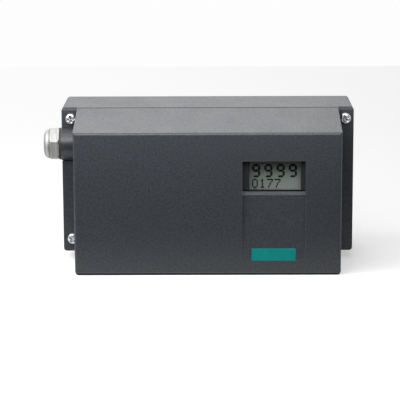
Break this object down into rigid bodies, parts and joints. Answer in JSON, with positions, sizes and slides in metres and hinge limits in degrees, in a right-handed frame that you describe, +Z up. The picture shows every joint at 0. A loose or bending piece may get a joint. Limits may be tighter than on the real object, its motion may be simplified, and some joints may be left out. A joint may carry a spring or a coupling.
{
  "type": "valve positioner",
  "caption": "Electro-pneumatic valve positioner in a dark moulded case with a sloping cover, display window, side cable gland, air ports and a rear feedback shaft.",
  "frame": {"origin": "on the feedback shaft's axis at the rear mounting face", "axes": "+Y out of the rear face along the feedback shaft, so the front looks along -Y; +X to the right as seen from the front; +Z up"},
  "size_m": [0.1958, 0.106, 0.0984],
  "materials": {
    "base_plastic": "fine grained dark grey moulding",
    "cover_plastic": "fine grained dark grey moulding",
    "rubber": "matt black rubber",
    "amber_rubber": "brown sealing ring",
    "steel": "bright zinc plated steel",
    "nickel": "satin nickel plate",
    "brass": "turned brass",
    "bronze": "sintered bronze",
    "alloy": "machined aluminium",
    "window": "clear polycarbonate",
    "lcd": "grey-green liquid crystal glass",
    "board": "green solder resist",
    "gear_plastic": "natural acetal",
    "wheel_plastic": "yellow acetal",
    "blue_plastic": "blue moulding",
    "grey_plastic": "grey moulding",
    "dark_plastic": "black moulding",
    "pale_plastic": "pale grey moulding",
    "key_plastic": "pale key caps"
  },
  "bodies": {
    "base": {"base_shell": "base_plastic", "mounting_inserts": "brass", "shaft_bush": "bronze", "shaft_seal": "rubber", "potentiometer": "blue_plastic", "sensor_plate": "alloy", "sensor_screws": "steel", "gland_body": "nickel", "gland_o_ring": "amber_rubber", "gland_seal": "rubber", "gland_dome_nut": "nickel", "port_block": "alloy", "block_screws": "steel", "pilot_valve": "grey_plastic", "exhaust_silencer": "bronze", "electronics_carrier": "dark_plastic", "carrier_screws": "steel", "electronics_case": "grey_plastic", "main_board": "board", "board_screws": "steel", "board_chips": "dark_plastic", "key_switches": "gear_plastic", "lcd_module": "lcd", "terminal_block": "pale_plastic", "terminal_screws": "steel"},
    "cover": {"cover_shell": "cover_plastic", "cover_gasket": "rubber", "cover_screws": "steel", "display_window": "window"},
    "feedback": {"feedback_shaft": "steel", "drive_gear": "gear_plastic", "clutch_washer": "steel", "clutch_wheel": "wheel_plastic", "shaft_circlip": "steel"},
    "pot_rotor": {"pot_shaft": "steel", "pot_gear": "gear_plastic"},
    "mode_key": {"key_mode": "key_plastic"},
    "down_key": {"key_down": "key_plastic"},
    "up_key": {"key_up": "key_plastic"},
    "upper_restrictor": {"restrictor_upper": "brass"},
    "lower_restrictor": {"restrictor_lower": "brass"}
  },
  "joints": [
    {"name": "cover_lift", "type": "slide", "parent": "base", "child": "cover", "axis": [0, -1, 0], "range_m": [0, 0.09]},
    {"name": "feedback_turn", "type": "hinge", "parent": "base", "child": "feedback", "pos_m": [0, 0, 0], "axis": [0, 1, 0], "range_deg": [-50, 50]},
    {"name": "pot_turn", "type": "hinge", "parent": "base", "child": "pot_rotor", "pos_m": [0, -0.015, -0.02646], "axis": [0, 1, 0], "range_deg": [-133.4, 133.4]},
    {"name": "mode_press", "type": "slide", "parent": "base", "child": "mode_key", "axis": [0, 1, 0], "range_m": [0, 0.0008], "stiffness_N_per_m": 500},
    {"name": "down_press", "type": "slide", "parent": "base", "child": "down_key", "axis": [0, 1, 0], "range_m": [0, 0.0008], "stiffness_N_per_m": 500},
    {"name": "up_press", "type": "slide", "parent": "base", "child": "up_key", "axis": [0, 1, 0], "range_m": [0, 0.0008], "stiffness_N_per_m": 500},
    {"name": "upper_restrictor_turn", "type": "hinge", "parent": "base", "child": "upper_restrictor", "pos_m": [0.07037, -0.036, 0.011], "axis": [0, 1, 0], "range_deg": [0, 360]},
    {"name": "lower_restrictor_turn", "type": "hinge", "parent": "base", "child": "lower_restrictor", "pos_m": [0.07037, -0.036, -0.011], "axis": [0, 1, 0], "range_deg": [0, 360]}
  ],
  "couplings": [
    {"joint": "pot_turn", "follows": "feedback_turn", "ratio": -2.6667}
  ]
}
